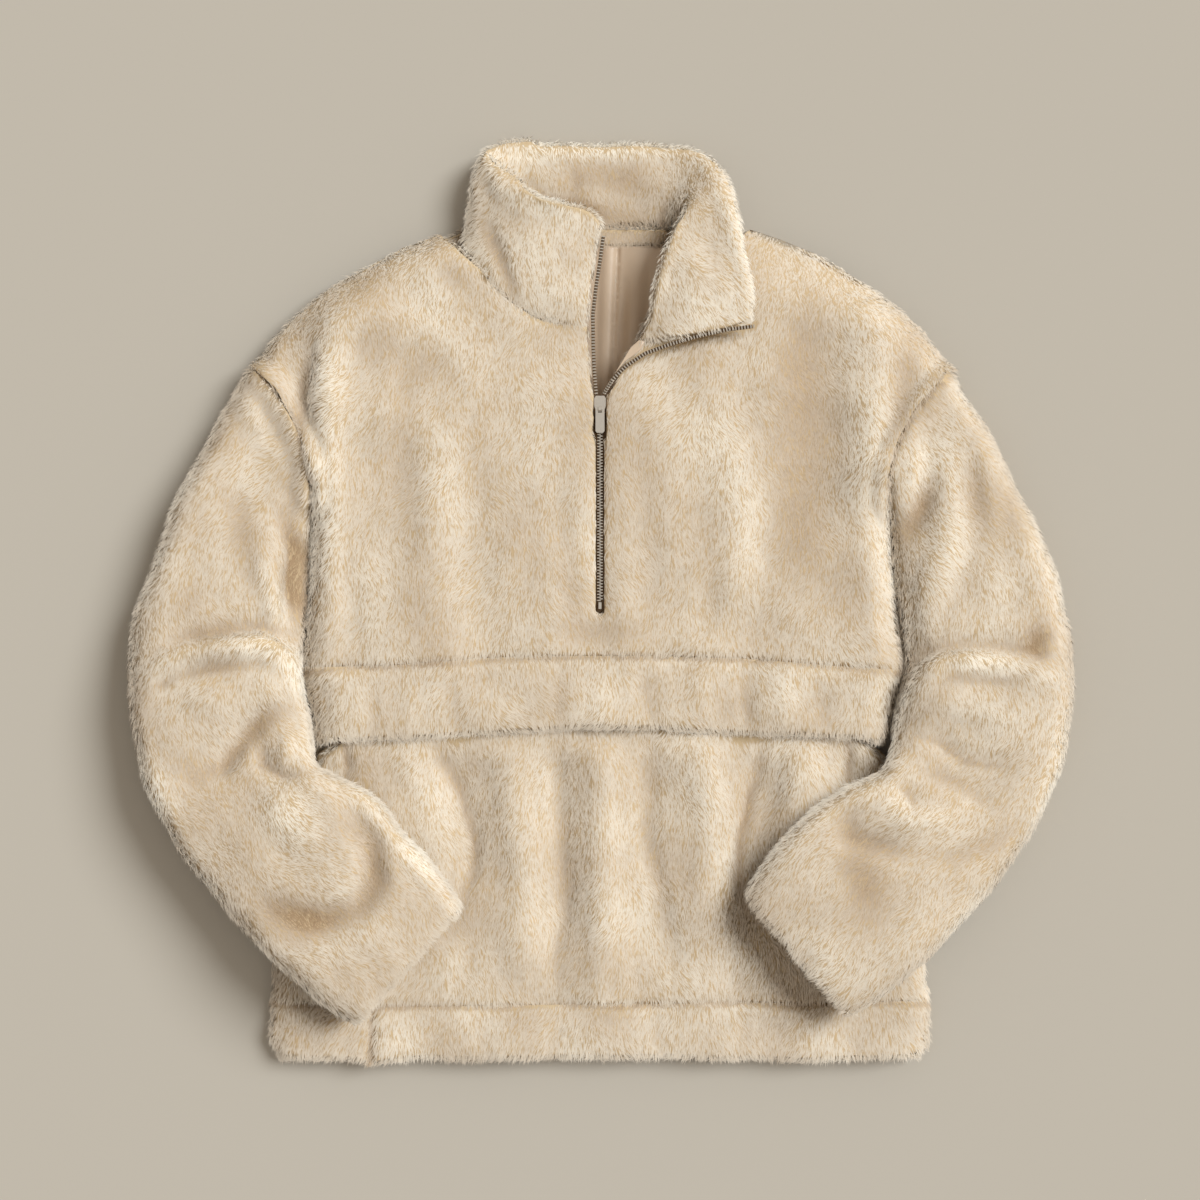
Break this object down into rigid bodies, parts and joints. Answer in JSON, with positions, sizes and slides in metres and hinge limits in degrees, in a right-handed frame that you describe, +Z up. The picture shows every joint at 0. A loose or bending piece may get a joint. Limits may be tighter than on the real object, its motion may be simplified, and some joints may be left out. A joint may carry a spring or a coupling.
{
  "type": "half-zip faux fur pullover",
  "caption": "Cream faux fur half-zip pullover laid flat, with a funnel collar, a cropped banded layer over a gathered lower layer, and the forearms folded in.",
  "frame": {"origin": "centre of the footprint, on the floor the garment lies on", "axes": "+X to the viewer's right across both sleeves, +Y from hem to collar, +Z up from the floor"},
  "size_m": [0.807, 0.7836, 0.0759],
  "materials": {
    "fur": "short dense faux fur pile, cream tips over a tan ground",
    "satin": "satin",
    "steel": "satin",
    "tape": "matt woven tape"
  },
  "bodies": {
    "garment": {"upper_front": "fur", "upper_back": "fur", "upper_band_front": "fur", "upper_band_back": "fur", "lower_front": "fur", "lower_back": "fur", "hem_band_front": "fur", "hem_band_front_left": "fur", "hem_band_back": "fur", "sleeve_left": "fur", "sleeve_right": "fur", "collar": "fur", "back_neck_facing": "fur", "back_lining": "satin", "zip_placket": "satin", "zip_chain_closed": "steel", "zip_chain_left": "steel", "zip_chain_right": "steel", "zip_stop": "steel", "slider": "steel", "slider_bridge": "steel", "zip_tape": "tape"},
    "pull_tab": {"pull_tab": "steel"}
  },
  "joints": [
    {"name": "pull_tab_lift", "type": "hinge", "parent": "garment", "child": "pull_tab", "pos_m": [0, 0.1616, 0.0377], "axis": [-1, 0, 0], "range_deg": [0, 150]}
  ]
}
